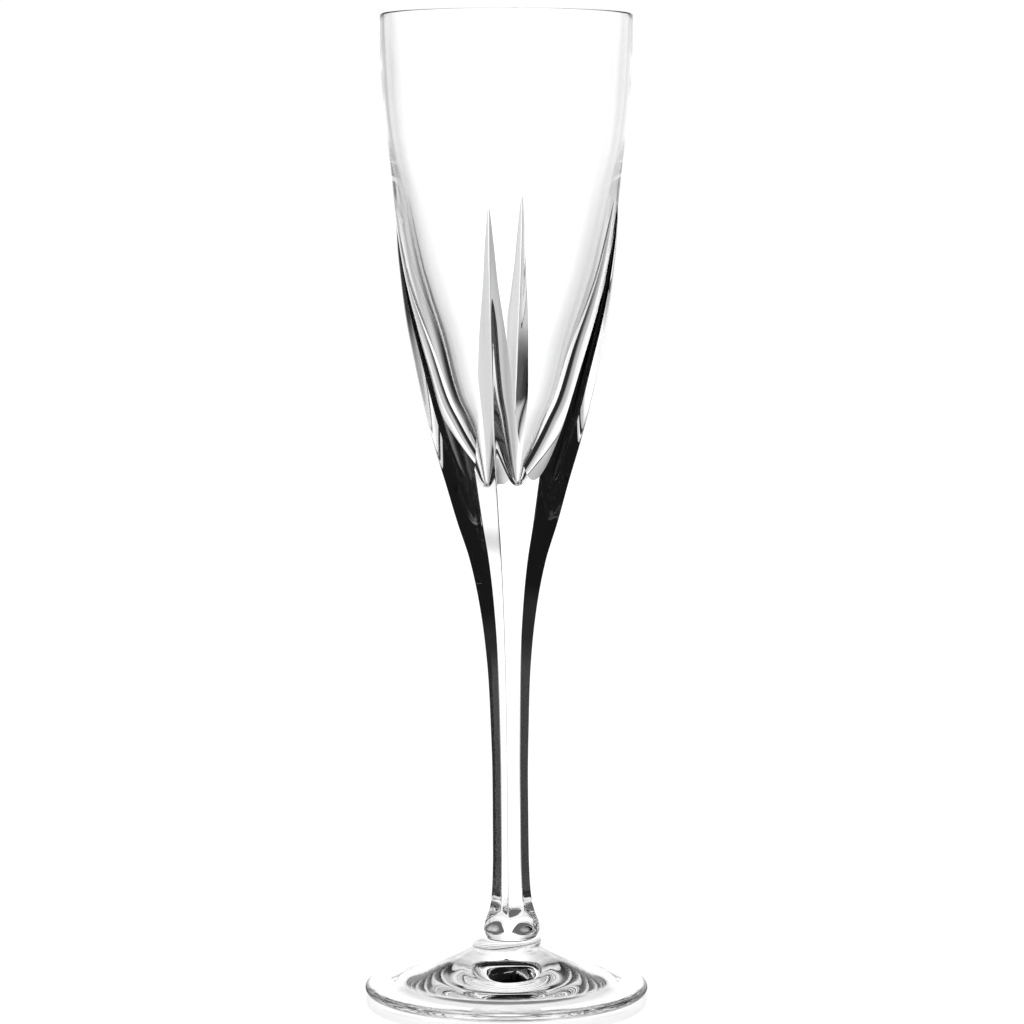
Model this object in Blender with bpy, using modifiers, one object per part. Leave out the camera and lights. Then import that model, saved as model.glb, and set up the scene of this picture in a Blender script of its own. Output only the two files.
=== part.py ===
"""Champagne flute: a round bowl held in a square, four-finned stem, with a weld bead and a disc foot.

Metres, +Z up. The origin is the centre of the resting ring, on the table. The four flats of the
square stem face along X and Y, so its corners, and the fins they become, lie on the diagonals.
"""

import math

import bmesh
import bpy

MM = 0.001

# ---- driving dimensions ------------------------------------------------------------------------
HEIGHT = 245.0 * MM
RIM_RADIUS = 31.33 * MM
FOOT_RADIUS = 35.65 * MM
FOOT_EDGE = 2.4 * MM  # thickness of the foot at its edge
GAP = 0.3 * MM  # between two pieces that are fused on the real glass
TURNS = 48  # segments round every turned piece
SIDE_POINTS = 10  # points along each side of the square section
SLICES = 40  # sections of the stem

# Radius of the bowl's outside at stations from the rim to its floor, as (height, radius).
BOWL_OUTSIDE = (
    (245.0, 31.33),
    (235.2, 31.27),
    (223.5, 30.51),
    (213.6, 29.46),
    (203.8, 28.40),
    (198.9, 27.92),
    (191.0, 27.00),
    (182.1, 25.62),
    (174.1, 23.92),
    (158.3, 19.72),
    (142.3, 15.34),
    (130.3, 11.37),
    (121.3, 7.78),
    (116.3, 4.79),
)
BOWL_OUTSIDE_TIP = 113.6

# Radius of the cavity at stations from the rim down to its rounded tip.
BOWL_INSIDE = (
    (245.0, 30.33),
    (224.4, 29.23),
    (214.6, 28.17),
    (199.9, 25.54),
    (182.6, 21.82),
    (175.1, 19.65),
    (162.7, 15.50),
    (150.3, 12.04),
    (143.5, 9.10),
    (138.5, 6.70),
    (134.5, 4.60),
    (131.6, 2.90),
)
BOWL_INSIDE_TIP = 129.2

# Half diagonal of the square stem, from the bead up to the points of its fins.
STEM_HALF_DIAGONAL = (
    (14.3, 6.46),
    (16.0, 7.06),
    (18.0, 6.76),
    (20.4, 5.88),
    (23.1, 5.23),
    (28.2, 4.78),
    (35.4, 4.58),
    (53.7, 4.53),
    (69.0, 4.88),
    (79.1, 5.27),
    (89.2, 6.10),
    (99.2, 7.48),
    (109.3, 9.60),
    (119.3, 12.79),
    (129.3, 15.67),
    (139.3, 18.64),
    (149.3, 21.21),
    (159.3, 23.37),
    (169.2, 25.33),
    (179.1, 26.66),
    (189.0, 27.60),
    (197.0, 27.86),
    (205.0, 27.90),
)
STEM_FOOT_Z = 14.3
STEM_TOP_Z = 195.0

# The weld bead between stem and foot, as (height, radius) from its top to its underside.
BEAD_TOP_Z = 14.0
BEAD_BOTTOM_Z = 11.3
BEAD_TOP_RADIUS = 6.2
BEAD_RADIUS = 8.6

# Upper side of the foot, as (radius, height).
FOOT_UPPER = (
    (8.5, 11.0),
    (9.6, 10.5),
    (11.2, 9.6),
    (14.0, 8.2),
    (18.0, 6.4),
    (23.0, 4.5),
    (26.5, 3.25),
    (28.5, 2.75),
    (31.0, 2.5),
    (34.55, 2.4),
)

# Its hollow underside, up from the flat resting ring, as (radius, height).
FOOT_UNDER = (
    (0.0, 4.60),
    (6.0, 4.40),
    (12.0, 3.60),
    (18.0, 2.70),
    (23.0, 1.70),
    (26.5, 0.90),
    (28.0, 0.50),
    (29.5, 0.12),
    (30.5, 0.00),
    (33.2, 0.00),
)
RING_OUTER_RADIUS = 34.2


# ---- curves ------------------------------------------------------------------------------------
def slopes(xs, ys):
    """Slopes of a smooth curve through the points that never overshoots them."""
    step = [(ys[i + 1] - ys[i]) / (xs[i + 1] - xs[i]) for i in range(len(xs) - 1)]
    found = [step[0]]
    for i in range(1, len(xs) - 1):
        a, b = step[i - 1], step[i]
        found.append(0.0 if a * b <= 0 else 2 * a * b / (a + b))
    found.append(step[-1])
    return found


def curve(stations, x):
    """Value at x of the smooth curve through (x, value) stations, in either order."""
    points = sorted(stations)
    xs, ys = [p[0] for p in points], [p[1] for p in points]
    m = slopes(xs, ys)
    x = min(max(x, xs[0]), xs[-1])
    i = 0
    while i < len(xs) - 2 and x > xs[i + 1]:
        i += 1
    h = xs[i + 1] - xs[i]
    t = (x - xs[i]) / h
    return (
        (2 * t**3 - 3 * t**2 + 1) * ys[i]
        + (t**3 - 2 * t**2 + t) * h * m[i]
        + (-2 * t**3 + 3 * t**2) * ys[i + 1]
        + (t**3 - t**2) * h * m[i + 1]
    )


def blend(a, b, x):
    """0 below a, 1 above b, smooth between."""
    t = min(max((x - a) / (b - a), 0.0), 1.0)
    return t * t * (3 - 2 * t)


def wall(stations, tip_z, count, grow=0.0):
    """Points of one side of the bowl from its rim down to the axis, as (radius, height) in mm."""
    low_z, low_r = stations[-1]
    found = []
    for i in range(count):
        t = i / (count - 1)
        z = HEIGHT / MM + (low_z - HEIGHT / MM) * t
        found.append((curve(stations, z) + grow, z))
    # the rounded tip, a quarter of an oval that starts as wide as the last station
    for i in range(1, 6):
        angle = math.pi / 2 * i / 5
        drop = low_z - tip_z + grow
        found.append(((low_r + grow) * math.cos(angle), low_z - drop * math.sin(angle)))
    found[-1] = (0.0, found[-1][1])
    return found


def square_section(a, power, n):
    """Points round a square with its corners on the diagonals. power 1 is a true square and 2 a circle."""
    found = []
    for k in range(4):
        for i in range(n):
            t = math.pi / 2 * i / n
            c, s = math.cos(t) ** (2 / power), math.sin(t) ** (2 / power)
            turn = math.pi / 2 * k + math.pi / 4
            x, y = a * c, a * s
            found.append(
                (
                    x * math.cos(turn) - y * math.sin(turn),
                    x * math.sin(turn) + y * math.cos(turn),
                )
            )
    return found


# ---- objects -----------------------------------------------------------------------------------
for thing in list(bpy.data.objects):
    bpy.data.objects.remove(thing, do_unlink=True)

flute = bpy.data.collections.new("champagne_flute")
cutters = bpy.data.collections.new("cutters")
bpy.context.scene.collection.children.link(flute)
bpy.context.scene.collection.children.link(cutters)


def glass(name, tint):
    """Clear crystal, a little different in tint for each piece."""
    material = bpy.data.materials.new(name)
    material.use_nodes = True
    shader = material.node_tree.nodes["Principled BSDF"]
    shader.inputs["Base Color"].default_value = (*tint, 1.0)
    shader.inputs["Roughness"].default_value = 0.02
    shader.inputs["Metallic"].default_value = 0.0
    shader.inputs["IOR"].default_value = 1.52
    shader.inputs["Transmission Weight"].default_value = 1.0
    material.diffuse_color = (*tint, 0.35)
    return material


def place(mesh, name, collection, material=None):
    thing = bpy.data.objects.new(name, mesh)
    collection.objects.link(thing)
    if material is not None:
        mesh.materials.append(material)
    return thing


def active(thing):
    bpy.ops.object.select_all(action="DESELECT")
    thing.select_set(True)
    bpy.context.view_layer.objects.active = thing


def turned(name, profile, collection, material=None):
    """A solid turned from (radius, height) points in mm that run down the outer side."""
    mesh = bpy.data.meshes.new(name)
    points = [(r * MM, 0.0, z * MM) for r, z in profile]
    mesh.from_pydata(points, [(i, i + 1) for i in range(len(points) - 1)], [])
    thing = place(mesh, name, collection, material)
    screw = thing.modifiers.new("turn", "SCREW")
    screw.axis = "Z"
    screw.angle = 2 * math.pi
    screw.steps = TURNS
    screw.render_steps = TURNS
    screw.use_merge_vertices = True
    screw.merge_threshold = 0.00001
    screw.use_normal_calculate = True
    active(thing)
    bpy.ops.object.modifier_apply(modifier="turn")
    return thing


def tidy(thing, angle=32.0):
    """Points the faces outwards and shades them smooth between the sharp edges."""
    shape = bmesh.new()
    shape.from_mesh(thing.data)
    bmesh.ops.remove_doubles(shape, verts=shape.verts, dist=0.000002)
    bmesh.ops.recalc_face_normals(shape, faces=shape.faces)
    shape.to_mesh(thing.data)
    shape.free()
    thing.data.shade_smooth()
    thing.data.set_sharp_from_angle(angle=math.radians(angle))


def cutter(thing):
    thing.hide_render = True
    thing.display_type = "WIRE"
    return thing


# The bowl: outside from the rim to its blunt floor, then the cavity back up, with a rounded lip.
outside = wall(BOWL_OUTSIDE, BOWL_OUTSIDE_TIP, 17)
inside = wall(BOWL_INSIDE, BOWL_INSIDE_TIP, 15)
lip_middle = (BOWL_OUTSIDE[0][1] + BOWL_INSIDE[0][1]) / 2
lip_half = (BOWL_OUTSIDE[0][1] - BOWL_INSIDE[0][1]) / 2
lip = [
    (
        lip_middle + lip_half * math.cos(math.radians(angle)),
        HEIGHT / MM - lip_half + lip_half * math.sin(math.radians(angle)),
    )
    for angle in (180, 135, 90, 45, 0)
]
profile = list(reversed(inside[1:])) + lip + outside[1:]
bowl = turned("bowl", profile, flute, glass("bowl_glass", (0.98, 0.99, 0.99)))
tidy(bowl)

# What the stem has to stay clear of: the bowl's outside, one gap larger, and up past the fins.
clear = wall(BOWL_OUTSIDE, BOWL_OUTSIDE_TIP, 17, GAP / MM)
clear = [(0.0, HEIGHT / MM + 2.0), (clear[0][0], HEIGHT / MM + 2.0)] + clear[1:]
pocket = cutter(turned("bowl_pocket", clear, cutters))
tidy(pocket)

# The stem: one loft of square sections. Its corners outgrow the bowl, and stand on it as fins.
stem_shape = bmesh.new()
rings = []
for i in range(SLICES + 1):
    t = i / SLICES
    z = STEM_FOOT_Z + (STEM_TOP_Z - STEM_FOOT_Z) * (0.22 * t + 0.78 * t ** 1.25)
    a = curve(STEM_HALF_DIAGONAL, z) + 0.22 * blend(150.0, 185.0, z)
    # round at the bulb, then a true square
    power = 1.0 + 0.80 * (1 - blend(16.0, 25.0, z))
    rings.append(
        [
            stem_shape.verts.new((x * MM, y * MM, z * MM))
            for x, y in square_section(a, power, SIDE_POINTS)
        ]
    )
for low, high in zip(rings, rings[1:]):
    for k in range(len(low)):
        n = (k + 1) % len(low)
        stem_shape.faces.new((low[k], low[n], high[n], high[k]))
stem_shape.faces.new(list(reversed(rings[0])))
stem_shape.faces.new(rings[-1])
stem_mesh = bpy.data.meshes.new("stem")
stem_shape.to_mesh(stem_mesh)
stem_shape.free()
stem = place(stem_mesh, "stem", flute, glass("stem_glass", (0.97, 0.985, 0.985)))
tidy(stem)
cut = stem.modifiers.new("bowl_pocket", "BOOLEAN")
cut.operation = "DIFFERENCE"
cut.solver = "EXACT"
cut.object = pocket
active(stem)
bpy.ops.object.modifier_apply(modifier="bowl_pocket")
tidy(stem)

# The weld bead: a flattened drop that the stem spread into when it was set on the foot.
bead_points = [(0.0, BEAD_TOP_Z), (BEAD_TOP_RADIUS, BEAD_TOP_Z)]
for i in range(1, 7):
    angle = math.pi / 2 * i / 6
    bead_points.append(
        (
            BEAD_TOP_RADIUS + (BEAD_RADIUS - BEAD_TOP_RADIUS) * math.sin(angle),
            BEAD_BOTTOM_Z
            + 0.4
            + (BEAD_TOP_Z - BEAD_BOTTOM_Z - 0.4) * math.cos(angle),
        )
    )
bead_points += [(BEAD_RADIUS - 0.15, BEAD_BOTTOM_Z), (0.0, BEAD_BOTTOM_Z)]
bead = turned("weld_bead", bead_points, flute, glass("bead_glass", (0.97, 0.985, 0.985)))
tidy(bead)

# The foot: a hollow-backed disc, highest under the bead, with a rounded edge.
foot_points = [(0.0, FOOT_UPPER[0][1])]
upper = sorted(FOOT_UPPER)
first, last = upper[0][0], upper[-1][0]
for i in range(13):
    r = first + (last - first) * (i / 12) ** 1.2
    foot_points.append((r, curve(upper, r)))
edge_half = FOOT_EDGE / MM / 2
edge_r = FOOT_RADIUS / MM - edge_half * 0.92
for angle in (60, 30, 0, -30, -60):
    foot_points.append(
        (
            edge_r + edge_half * 0.92 * math.cos(math.radians(angle)),
            edge_half + edge_half * math.sin(math.radians(angle)),
        )
    )
foot_points.append((RING_OUTER_RADIUS, 0.0))
for i in range(13):
    r = FOOT_UNDER[-1][0] * (1 - i / 12)
    foot_points.append((r, curve(FOOT_UNDER, r)))
foot = turned("foot", foot_points, flute, glass("foot_glass", (0.98, 0.99, 0.99)))
tidy(foot)
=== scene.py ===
"""A champagne flute of clear crystal in a white studio.

The four fused pieces of glass are meshed finely here, as skins that meet along the creases of the
real glass, so that light passes from one to the next as it does through one body of crystal.
"""

import math

import bpy
import bmesh
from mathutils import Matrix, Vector


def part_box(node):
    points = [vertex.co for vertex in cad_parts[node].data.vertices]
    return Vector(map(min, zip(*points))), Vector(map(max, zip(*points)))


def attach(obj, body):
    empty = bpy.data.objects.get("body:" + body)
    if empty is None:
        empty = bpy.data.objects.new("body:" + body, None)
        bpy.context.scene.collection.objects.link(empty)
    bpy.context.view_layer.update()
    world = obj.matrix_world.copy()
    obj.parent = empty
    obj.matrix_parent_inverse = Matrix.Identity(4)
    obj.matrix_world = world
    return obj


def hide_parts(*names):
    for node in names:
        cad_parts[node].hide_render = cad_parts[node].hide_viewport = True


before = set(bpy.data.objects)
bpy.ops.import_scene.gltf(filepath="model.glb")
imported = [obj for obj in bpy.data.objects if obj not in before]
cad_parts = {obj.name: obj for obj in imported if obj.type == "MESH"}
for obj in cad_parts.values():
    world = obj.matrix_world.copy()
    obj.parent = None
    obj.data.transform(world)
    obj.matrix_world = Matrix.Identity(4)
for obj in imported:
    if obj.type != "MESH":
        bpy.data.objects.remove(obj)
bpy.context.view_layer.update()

MM = 0.001
_, bowl_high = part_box("bowl")
stem_low, stem_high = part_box("stem")
bead_low, bead_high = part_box("weld_bead")
foot_low, foot_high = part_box("foot")
HEIGHT = bowl_high.z / MM
RIM = round(bowl_high.x / MM, 2)
FOOT_RADIUS = round(foot_high.x / MM, 2)

# ---- the shape, in mm, as the frame has it -----------------------------------------------------
BOWL_OUTSIDE = (
    (HEIGHT, RIM),
    (235.2, 31.27),
    (223.5, 30.51),
    (213.6, 29.46),
    (203.8, 28.40),
    (198.9, 27.92),
    (191.0, 27.00),
    (182.1, 25.62),
    (174.1, 23.92),
    (158.3, 19.72),
    (142.3, 15.34),
    (130.3, 11.37),
    (121.3, 7.78),
    (116.3, 4.79),
)
BOWL_INSIDE = (
    (HEIGHT, RIM - 1.0),
    (224.4, 29.23),
    (214.6, 28.17),
    (199.9, 25.54),
    (182.6, 21.82),
    (175.1, 19.65),
    (162.7, 15.50),
    (150.3, 12.04),
    (143.5, 9.10),
    (138.5, 6.70),
    (134.5, 4.60),
    (131.6, 2.90),
)
BOWL_INSIDE_TIP = 129.2
STEM_HALF_DIAGONAL = (
    (14.3, 6.46),
    (16.0, 7.06),
    (18.0, 6.76),
    (20.4, 5.88),
    (23.1, 5.23),
    (28.2, 4.78),
    (35.4, 4.58),
    (53.7, 4.53),
    (69.0, 4.88),
    (79.1, 5.27),
    (89.2, 6.10),
    (99.2, 7.48),
    (109.3, 9.60),
    (119.3, 12.79),
    (129.3, 15.67),
    (139.3, 18.64),
    (149.3, 21.21),
    (159.3, 23.37),
    (169.2, 25.33),
    (179.1, 26.66),
    (189.0, 27.60),
    (197.0, 27.86),
    (205.0, 27.90),
)
BEAD_TOP = bead_high.z / MM
BEAD_BOTTOM = bead_low.z / MM
BEAD_RADIUS = bead_high.x / MM
FOOT_UPPER = (
    (8.5, 11.0),
    (9.6, 10.5),
    (11.2, 9.6),
    (14.0, 8.2),
    (18.0, 6.4),
    (23.0, 4.5),
    (26.5, 3.25),
    (28.5, 2.75),
    (31.0, 2.5),
    (34.55, 2.4),
)
FOOT_EDGE = 2.4
FOOT_UNDER = (
    (0.0, 4.60),
    (6.0, 4.40),
    (12.0, 3.60),
    (18.0, 2.70),
    (23.0, 1.70),
    (26.5, 0.90),
    (28.0, 0.50),
    (29.5, 0.12),
    (30.5, 0.00),
    (33.2, 0.00),
)
RING_OUTER_RADIUS = 34.2

FLAT_COLUMNS = 15  # on each side of a corner
ROUND_COLUMNS = 30  # on the round wall between two corners
CORNER = math.pi / 4  # azimuth of the first corner


def slopes(xs, ys):
    step = [(ys[i + 1] - ys[i]) / (xs[i + 1] - xs[i]) for i in range(len(xs) - 1)]
    found = [step[0]]
    for i in range(1, len(xs) - 1):
        a, b = step[i - 1], step[i]
        found.append(0.0 if a * b <= 0 else 2 * a * b / (a + b))
    found.append(step[-1])
    return found


def curve(stations, x):
    """Value at x of the smooth curve through (x, value) stations, in either order."""
    points = sorted(stations)
    xs, ys = [p[0] for p in points], [p[1] for p in points]
    m = slopes(xs, ys)
    x = min(max(x, xs[0]), xs[-1])
    i = 0
    while i < len(xs) - 2 and x > xs[i + 1]:
        i += 1
    h = xs[i + 1] - xs[i]
    t = (x - xs[i]) / h
    return (
        (2 * t**3 - 3 * t**2 + 1) * ys[i]
        + (t**3 - 2 * t**2 + t) * h * m[i]
        + (-2 * t**3 + 3 * t**2) * ys[i + 1]
        + (t**3 - t**2) * h * m[i + 1]
    )


def blend(a, b, x):
    t = min(max((x - a) / (b - a), 0.0), 1.0)
    return t * t * (3 - 2 * t)


def half_diagonal(z):
    return curve(STEM_HALF_DIAGONAL, z)


def power(z):
    """1 is a true square and 2 a circle."""
    return 1.0 + 0.85 * (1 - blend(14.3, 20.5, z))


def ridge(z):
    """Radius of the stem's corners, which the fire has softened most near the foot."""
    return 0.16 + 0.04 * blend(120.0, 190.0, z) + 0.30 * (1 - blend(16.0, 26.0, z))


def square_radius(t, z):
    """Radius of the square section at an angle t from its nearest corner."""
    a, p = half_diagonal(z), power(z)
    e = ridge(z) / a
    c, s = abs(math.cos(t)), math.sqrt(math.sin(t) ** 2 + e * e) - e
    return a / (c**p + s**p) ** (1 / p)


def round_radius(z):
    return curve(BOWL_OUTSIDE, z) if z > BOWL_OUTSIDE[-1][0] else 0.0


def fin_angle(z):
    """How far from its corner a flat meets the round bowl: 0 above the fins and 45 degrees below the bowl."""
    r = round_radius(z)
    if square_radius(0.0, z) <= r:
        return 0.0
    if square_radius(math.pi / 4, z) >= r:
        return math.pi / 4
    low, high = 0.0, math.pi / 4
    for _ in range(40):
        mid = (low + high) / 2
        if square_radius(mid, z) > r:
            low = mid
        else:
            high = mid
    return (low + high) / 2


def solve(test, low, high):
    """Height between low and high where test turns from true to false."""
    for _ in range(40):
        mid = (low + high) / 2
        if test(mid):
            low = mid
        else:
            high = mid
    return (low + high) / 2


FIN_TOP = solve(lambda z: half_diagonal(z) > round_radius(z), 150.0, 205.0)
SCALLOP = solve(lambda z: fin_angle(z) >= math.pi / 4 - 1e-9, 116.0, 150.0)


def heights(high, low, count, top_crowd=1.0, bottom_crowd=1.0):
    """Heights from high to low, closer together at an end whose crowd is above 1."""
    found = []
    for i in range(count + 1):
        t = i / count
        a, b = t**top_crowd, 1 - (1 - t) ** bottom_crowd
        found.append(high + (low - high) * (a * (1 - t) + b * t))
    return found


def flat_angles(z):
    """Angles from a corner across its flat to where the flat ends, close together at the corner."""
    end = fin_angle(z)
    if end <= 0:
        return [0.0] * (FLAT_COLUMNS + 1)
    tight = ridge(z) / half_diagonal(z) * 0.8
    tight = tight + (2.0 - tight) * (1 - blend(14.8, 21.0, z))
    k = math.asinh(end / tight)
    return [tight * math.sinh(k * i / FLAT_COLUMNS) for i in range(FLAT_COLUMNS)] + [end]


# The stem was drawn a little out of true: how far its middle strays, by height, and which way.
LEAN = (
    (12.0, 0.0),
    (14.3, 1.25),
    (18.0, 1.42),
    (28.0, 1.20),
    (48.0, 1.00),
    (68.0, 0.82),
    (88.0, 0.58),
    (110.0, 0.30),
    (132.0, 0.0),
)
LEAN_TOWARDS = math.radians(53.6)


def point(r, angle, z):
    return (r * math.cos(angle) * MM, r * math.sin(angle) * MM, z * MM)


def leaning(r, angle, z):
    x, y, height = point(r, angle, z)
    away = curve(LEAN, z) * MM
    return (x + away * math.cos(LEAN_TOWARDS), y + away * math.sin(LEAN_TOWARDS), height)


# ---- meshes ------------------------------------------------------------------------------------
def skin(shape, rows):
    """Faces between rows of points, each row running the same way round."""
    made = [[shape.verts.new(p) for p in row] for row in rows]
    for a, b in zip(made, made[1:]):
        for i in range(len(a) - 1):
            shape.faces.new((a[i], b[i], b[i + 1], a[i + 1]))


def turn(shape, profile, columns, place=point):
    """A turned skin from (radius, height) points in mm."""
    rows = []
    for r, z in profile:
        rows.append(
            [place(r, CORNER + 2 * math.pi * i / columns, z) for i in range(columns + 1)]
        )
    skin(shape, rows)


def finish(shape, name, angle):
    bmesh.ops.remove_doubles(shape, verts=shape.verts, dist=0.0000004)
    mesh = bpy.data.meshes.new(name)
    shape.to_mesh(mesh)
    shape.free()
    mesh.shade_smooth()
    mesh.set_sharp_from_angle(angle=math.radians(angle))
    thing = bpy.data.objects.new(name, mesh)
    bpy.context.scene.collection.objects.link(thing)
    return thing


LIP_Z = HEIGHT - 0.5


def make_bowl():
    """The cavity, the lip, and the round outside between the fins."""
    shape = bmesh.new()
    tip_z, tip_r = BOWL_INSIDE[-1]
    profile = []
    for i in range(17):
        t = i / 16
        profile.append((tip_r * t, BOWL_INSIDE_TIP + (tip_z - BOWL_INSIDE_TIP) * t * t))
    count = 90
    for i in range(1, count + 1):
        z = tip_z + (LIP_Z - tip_z) * i / count
        profile.append((curve(BOWL_INSIDE, z), z))
    # the fire-polished lip, a half round between the two walls
    inner, outer = curve(BOWL_INSIDE, LIP_Z), curve(BOWL_OUTSIDE, LIP_Z)
    middle, half = (inner + outer) / 2, (outer - inner) / 2
    for i in range(1, 13):
        angle = math.pi * (1 - i / 12)
        profile.append((middle + half * math.cos(angle), LIP_Z + 0.5 * math.sin(angle)))
    turn(shape, profile, 4 * ROUND_COLUMNS)

    zs = heights(LIP_Z, FIN_TOP, 34) + heights(FIN_TOP, SCALLOP, 84, 1.5, 2.0)[1:]
    for k in range(4):
        rows = []
        for z in zs:
            start = fin_angle(z)
            end = math.pi / 2 - start
            corner = CORNER + k * math.pi / 2
            r = round_radius(z)
            rows.append(
                [
                    point(r, corner + start + (end - start) * i / ROUND_COLUMNS, z)
                    for i in range(ROUND_COLUMNS + 1)
                ]
            )
        skin(shape, rows)
    return finish(shape, "bowl_crystal", 40)


def make_stem():
    """The four fins, and the square stem that they run down into."""
    shape = bmesh.new()
    zs = heights(FIN_TOP, SCALLOP, 84, 1.5, 2.0) + heights(SCALLOP, 26.0, 84, 1.25, 1.0)[1:]
    zs += heights(26.0, stem_low.z / MM, 22)[1:]
    for k in range(4):
        corner = CORNER + k * math.pi / 2
        rows = []
        for z in zs:
            across = flat_angles(z)
            rows.append([leaning(square_radius(t, z), corner + t, z) for t in across])
        skin(shape, rows)
        rows = []
        for z in zs:
            across = [-t for t in reversed(flat_angles(z))]
            rows.append([leaning(square_radius(t, z), corner + t, z) for t in across])
        skin(shape, rows)
    return finish(shape, "stem_crystal", 40)


def make_bead():
    """The flattened drop of glass that welds the stem to the foot."""
    shape = bmesh.new()
    neck = half_diagonal(stem_low.z / MM)
    top_r = 6.2
    profile = [(neck, stem_low.z / MM), (neck - 0.12, BEAD_TOP + 0.15), (top_r, BEAD_TOP)]
    for i in range(1, 15):
        angle = math.pi / 2 * i / 14
        profile.append(
            (
                top_r + (BEAD_RADIUS - top_r) * math.sin(angle),
                BEAD_BOTTOM + 0.4 + (BEAD_TOP - BEAD_BOTTOM - 0.4) * math.cos(angle),
            )
        )
    profile += [(BEAD_RADIUS - 0.05, BEAD_BOTTOM + 0.15), (FOOT_UPPER[0][0], foot_high.z / MM)]
    turn(shape, profile, 8 * FLAT_COLUMNS, leaning)
    return finish(shape, "weld_bead_crystal", 40)


def make_foot():
    """The disc: its upper side, its rounded edge, the flat resting ring and the hollow back."""
    shape = bmesh.new()
    first, last = FOOT_UPPER[0][0], FOOT_UPPER[-1][0]
    profile = []
    for i in range(41):
        r = first + (last - first) * (i / 40) ** 1.15
        profile.append((r, curve(FOOT_UPPER, r)))
    half = FOOT_EDGE / 2
    edge_r = FOOT_RADIUS - half * 0.92
    for angle in range(75, -76, -15):
        profile.append(
            (
                edge_r + half * 0.92 * math.cos(math.radians(angle)),
                half + half * math.sin(math.radians(angle)),
            )
        )
    profile.append((RING_OUTER_RADIUS, 0.0))
    for i in range(49):
        r = FOOT_UNDER[-1][0] * (1 - i / 48)
        profile.append((r, curve(FOOT_UNDER, r)))
    turn(shape, profile, 8 * FLAT_COLUMNS)
    return finish(shape, "foot_crystal", 40)


# ---- crystal -----------------------------------------------------------------------------------
def crystal(name, seed, ripple, cords):
    """Polished crystal: a faint ripple left by the mould, drawn cords in the glass, and a polish that isn't quite even."""
    material = bpy.data.materials.new(name)
    material.use_nodes = True
    tree = material.node_tree
    shader = tree.nodes["Principled BSDF"]
    shader.inputs["Metallic"].default_value = 0.0
    shader.inputs["IOR"].default_value = 1.52
    shader.inputs["Transmission Weight"].default_value = 1.0

    where = tree.nodes.new("ShaderNodeTexCoord")
    stretch = tree.nodes.new("ShaderNodeMapping")
    stretch.inputs["Location"].default_value = (seed, seed * 1.7, seed * 0.6)
    stretch.inputs["Scale"].default_value = (1.0, 1.0, 0.22)
    tree.links.new(where.outputs["Object"], stretch.inputs["Vector"])

    drawn = tree.nodes.new("ShaderNodeTexNoise")
    drawn.inputs["Scale"].default_value = 120.0
    drawn.inputs["Detail"].default_value = 1.0
    tree.links.new(stretch.outputs["Vector"], drawn.inputs["Vector"])
    wide = tree.nodes.new("ShaderNodeTexNoise")
    wide.inputs["Scale"].default_value = 45.0
    wide.inputs["Detail"].default_value = 0.0
    tree.links.new(where.outputs["Object"], wide.inputs["Vector"])

    tone = tree.nodes.new("ShaderNodeValToRGB")
    tone.color_ramp.elements[0].position = 0.3
    tone.color_ramp.elements[0].color = (0.982, 0.983, 0.985, 1)
    tone.color_ramp.elements[1].position = 0.7
    tone.color_ramp.elements[1].color = (0.998, 0.998, 0.999, 1)
    tree.links.new(drawn.outputs["Fac"], tone.inputs["Fac"])
    tree.links.new(tone.outputs["Color"], shader.inputs["Base Color"])

    polish = tree.nodes.new("ShaderNodeMapRange")
    polish.inputs["From Min"].default_value = 0.45
    polish.inputs["From Max"].default_value = 0.8
    polish.inputs["To Min"].default_value = 0.0
    polish.inputs["To Max"].default_value = 0.02
    tree.links.new(wide.outputs["Fac"], polish.inputs["Value"])
    tree.links.new(polish.outputs["Result"], shader.inputs["Roughness"])

    first = tree.nodes.new("ShaderNodeBump")
    first.inputs["Strength"].default_value = ripple
    first.inputs["Distance"].default_value = 0.0004
    tree.links.new(wide.outputs["Fac"], first.inputs["Height"])
    second = tree.nodes.new("ShaderNodeBump")
    second.inputs["Strength"].default_value = cords
    second.inputs["Distance"].default_value = 0.0001
    tree.links.new(drawn.outputs["Fac"], second.inputs["Height"])
    tree.links.new(first.outputs["Normal"], second.inputs["Normal"])
    tree.links.new(second.outputs["Normal"], shader.inputs["Normal"])
    return material


for make, node, slot, ripple, cords in (
    (make_bowl, "bowl", "bowl_crystal", 0.05, 0.05),
    (make_stem, "stem", "stem_crystal", 0.08, 0.10),
    (make_bead, "weld_bead", "stem_crystal", 0.15, 0.15),
    (make_foot, "foot", "foot_crystal", 0.10, 0.10),
):
    piece = make()
    piece.data.materials.append(
        crystal(f"{node}_clear_crystal", 3.1 * len(node), ripple, cords)
    )
    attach(piece, "root")
    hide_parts(node)

# ---- studio ------------------------------------------------------------------------------------
VIEW_AZIMUTH = 53.9  # degrees round from the front, as the photograph sees the stem
AHEAD = math.radians(90.0 + VIEW_AZIMUTH)  # direction the camera looks in


def emission(name, colour, strength):
    material = bpy.data.materials.new(name)
    material.use_nodes = True
    tree = material.node_tree
    tree.nodes.clear()
    out = tree.nodes.new("ShaderNodeOutputMaterial")
    glow = tree.nodes.new("ShaderNodeEmission")
    glow.inputs["Color"].default_value = (*colour, 1)
    glow.inputs["Strength"].default_value = strength
    tree.links.new(glow.outputs[0], out.inputs["Surface"])
    return material, tree, glow


def stage_object(name, verts, faces, material):
    mesh = bpy.data.meshes.new(name)
    mesh.from_pydata(verts, [], faces)
    mesh.materials.append(material)
    thing = bpy.data.objects.new(name, mesh)
    bpy.context.scene.collection.objects.link(thing)
    return thing


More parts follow.
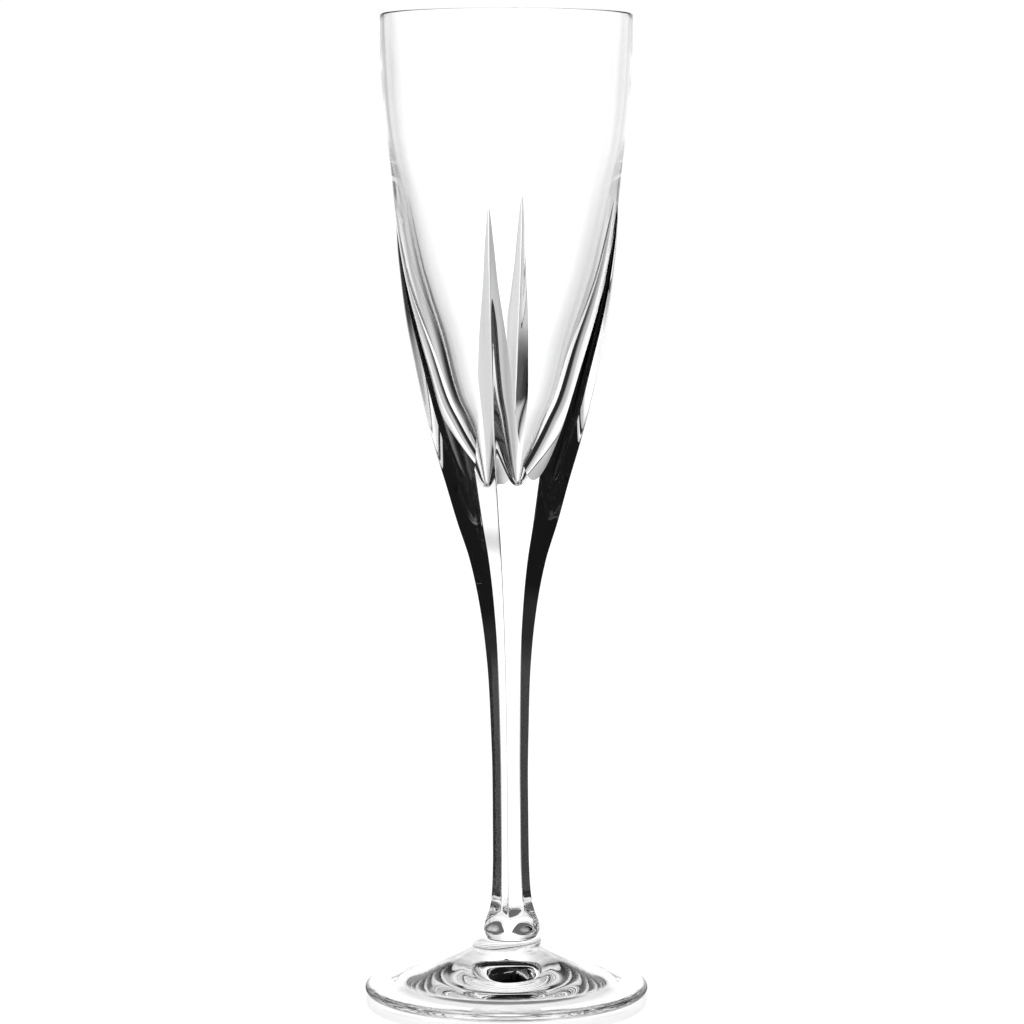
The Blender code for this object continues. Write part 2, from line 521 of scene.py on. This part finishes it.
def math_node(tree, operation, a, b=None, clamp=False):
    node = tree.nodes.new("ShaderNodeMath")
    node.operation = operation
    node.use_clamp = clamp
    for socket, value in zip(node.inputs, (a, b)):
        if value is None:
            continue
        if isinstance(value, (int, float)):
            socket.default_value = value
        else:
            tree.links.new(value, socket)
    return node.outputs[0]


def smooth(tree, value, low, high):
    """0 where value is at low and 1 at high, smooth between."""
    node = tree.nodes.new("ShaderNodeMapRange")
    node.interpolation_type = "SMOOTHSTEP"
    tree.links.new(value, node.inputs["Value"])
    node.inputs["From Min"].default_value = low
    node.inputs["From Max"].default_value = high
    return node.outputs["Result"]


def turned_from_ahead(tree, x, y):
    """Degrees that a place on the stage lies to the left of straight ahead, from -180 to 180."""
    c, s = math.cos(AHEAD), math.sin(AHEAD)
    along = math_node(
        tree, "ADD", math_node(tree, "MULTIPLY", x, c), math_node(tree, "MULTIPLY", y, s)
    )
    left = math_node(
        tree, "ADD", math_node(tree, "MULTIPLY", x, -s), math_node(tree, "MULTIPLY", y, c)
    )
    angle = math_node(tree, "ARCTAN2", left, along)
    return math_node(tree, "MULTIPLY", angle, 180 / math.pi)


# Light from the studio's walls, by degrees to the left of straight ahead: bright ahead, with black
# flags to both sides, and a paler gap in each where the other two sides of the studio are lit.
DARK = 0.024
WALL = (
    (-180, 0.75),
    (-156, 0.72),
    (-148, DARK),
    (-69, DARK),
    (-61, 0.50),
    (-47, 0.58),
    (-40, 0.80),
    (-26, 0.84),
    (-19, 0.95),
    (-13, 1.12),
    (-7, 1.42),
    (7, 1.42),
    (13, 1.12),
    (20, 0.85),
    (26, 0.56),
    (30, 0.52),
    (33, 0.68),
    (41, 0.68),
    (48, 0.25),
    (55, DARK),
    (138, DARK),
    (150, 0.70),
    (180, 0.75),
)


def wall_light(tree, angle):
    where = math_node(tree, "MULTIPLY", math_node(tree, "ADD", angle, 180.0), 1 / 360)
    ramp = tree.nodes.new("ShaderNodeValToRGB")
    ramp.color_ramp.interpolation = "LINEAR"
    stops = ramp.color_ramp.elements
    while len(stops) > 1:
        stops.remove(stops[-1])
    for i, (degrees, level) in enumerate(WALL):
        stop = stops[0] if i == 0 else stops.new((degrees + 180) / 360)
        stop.position = (degrees + 180) / 360
        stop.color = (level / 1.5, level / 1.5, level / 1.5, 1)
    tree.links.new(where, ramp.inputs["Fac"])
    return math_node(tree, "MULTIPLY", ramp.outputs["Color"], 1.5)


def coordinates(tree):
    where = tree.nodes.new("ShaderNodeTexCoord")
    split = tree.nodes.new("ShaderNodeSeparateXYZ")
    tree.links.new(where.outputs["Object"], split.inputs[0])
    return split.outputs


def distance(tree, x, y):
    squares = [math_node(tree, "MULTIPLY", v, v) for v in (x, y)]
    return math_node(tree, "SQRT", math_node(tree, "ADD", *squares))


# the walls that the glass sees, dimmer towards the black ceiling
tent_material, tree, glow = emission("tent_cloth", (1, 1, 1), 1.0)
x, y, z = coordinates(tree)
angle = turned_from_ahead(tree, x, y)
lift = math_node(
    tree, "MULTIPLY", math_node(tree, "ARCTAN2", z, distance(tree, x, y)), 180 / math.pi
)
round_from_ahead = math_node(tree, "ABSOLUTE", angle)
ahead = smooth(tree, round_from_ahead, 60.0, 30.0)
edge = math_node(tree, "ADD", math_node(tree, "MULTIPLY", ahead, 4.0), 10.0)
above = math_node(tree, "SUBTRACT", lift, edge)
lit = math_node(tree, "MULTIPLY", wall_light(tree, angle), smooth(tree, above, 10.0, 0.0))
tree.links.new(math_node(tree, "MAXIMUM", lit, 0.008), glow.inputs["Strength"])
TENT = 1.6
ring = 96
verts, faces = [], []
levels = [
    (TENT, -0.002),
    (TENT, 0.6),
    (TENT, 1.2),
    (TENT * 0.85, 1.9),
    (TENT * 0.45, 2.3),
    (0.01, 2.4),
]
for r, h in levels:
    for i in range(ring):
        a = 2 * math.pi * i / ring
        verts.append((r * math.cos(a), r * math.sin(a), h))
for j in range(len(levels) - 1):
    for i in range(ring):
        n = (i + 1) % ring
        faces.append((j * ring + i, j * ring + n, (j + 1) * ring + n, (j + 1) * ring + i))
tent = stage_object("light_tent", verts, faces, tent_material)
tent.visible_camera = False

# the floor that the glass sees: white, with black cloth to each side just outside the picture, and a painted
# shadow that darkens it in a soft disc under the foot
cloth_material, tree, glow = emission("floor_cloth", (1, 1, 1), 1.0)
x, y, z = coordinates(tree)
angle = turned_from_ahead(tree, x, y)
far_light = wall_light(tree, angle)
round_from_ahead = math_node(tree, "ABSOLUTE", angle)
beside = math_node(
    tree,
    "MULTIPLY",
    smooth(tree, round_from_ahead, 38.0, 54.0),
    smooth(tree, round_from_ahead, 165.0, 150.0),
)
near_wide = smooth(tree, distance(tree, x, y), 0.090, 0.055)
near_tight = smooth(tree, distance(tree, x, y), 0.044, 0.034)
near = math_node(
    tree,
    "ADD",
    math_node(tree, "MULTIPLY", near_tight, beside),
    math_node(tree, "MULTIPLY", near_wide, math_node(tree, "SUBTRACT", 1.0, beside)),
)
lit = math_node(
    tree,
    "ADD",
    math_node(tree, "MULTIPLY", near, 1.1),
    math_node(tree, "MULTIPLY", math_node(tree, "SUBTRACT", 1.0, near), far_light),
)
# painted shadow under the foot: the cloth's glow falls to 0.14 inside 15 mm of the middle and is full again
# beyond 22.5 mm
shade = smooth(tree, distance(tree, x, y), 0.0150, 0.0225)
shade = math_node(tree, "ADD", math_node(tree, "MULTIPLY", shade, 0.86), 0.14)
tree.links.new(math_node(tree, "MULTIPLY", lit, shade), glow.inputs["Strength"])
verts = [
    (TENT * math.cos(2 * math.pi * i / ring), TENT * math.sin(2 * math.pi * i / ring), -0.0012)
    for i in range(ring)
]
cloth = stage_object("floor_cloth", verts, [tuple(range(ring))], cloth_material)
cloth.visible_camera = False

# the floor that the camera sees, white with a soft sheen
floor_material = bpy.data.materials.new("white_floor")
floor_material.use_nodes = True
tree = floor_material.node_tree
tree.nodes.clear()
out = tree.nodes.new("ShaderNodeOutputMaterial")
glow = tree.nodes.new("ShaderNodeEmission")
glow.inputs["Color"].default_value = (1, 1, 1, 1)
glow.inputs["Strength"].default_value = 1.02
gloss = tree.nodes.new("ShaderNodeBsdfGlossy")
gloss.inputs["Color"].default_value = (1, 1, 1, 1)
gloss.inputs["Roughness"].default_value = 0.03
mix = tree.nodes.new("ShaderNodeMixShader")
mix.inputs[0].default_value = 0.16
tree.links.new(glow.outputs[0], mix.inputs[1])
tree.links.new(gloss.outputs[0], mix.inputs[2])
tree.links.new(mix.outputs[0], out.inputs["Surface"])
size = 6.0
floor = stage_object(
    "floor",
    [(-size, -size, -0.0004), (size, -size, -0.0004), (size, size, -0.0004), (-size, size, -0.0004)],
    [(0, 1, 2, 3)],
    floor_material,
)
floor.visible_transmission = False
floor.visible_diffuse = False
floor.visible_glossy = False

world = bpy.data.worlds.new("white_studio")
world.use_nodes = True
world.node_tree.nodes["Background"].inputs["Color"].default_value = (1, 1, 1, 1)
world.node_tree.nodes["Background"].inputs["Strength"].default_value = 1.02
bpy.context.scene.world = world


# ---- camera ------------------------------------------------------------------------------------
DISTANCE = 0.885
EYE = 0.2018
TILT = 5.18
FRAME = 0.2549  # what the picture takes in at the flute
data = bpy.data.cameras.new("camera")
data.sensor_width = 36.0
data.lens = 36.0 / (FRAME / DISTANCE)
data.clip_start = 0.01
data.clip_end = 50.0
camera = bpy.data.objects.new("camera", data)
bpy.context.scene.collection.objects.link(camera)
back = Vector((-math.cos(AHEAD), -math.sin(AHEAD), 0.0))
right = Vector((math.sin(AHEAD), -math.cos(AHEAD), 0.0))
camera.location = back * DISTANCE + Vector((0, 0, EYE))
aim = right * 0.0014 + Vector((0, 0, EYE - DISTANCE * math.tan(math.radians(TILT))))
camera.rotation_euler = (aim - camera.location).to_track_quat("-Z", "Y").to_euler()
bpy.context.scene.camera = camera
bpy.context.scene.view_settings.view_transform = "Standard"
bpy.context.scene.view_settings.look = "None"
bpy.context.scene.cycles.max_bounces = 24
bpy.context.scene.cycles.glossy_bounces = 16
bpy.context.scene.cycles.transmission_bounces = 24
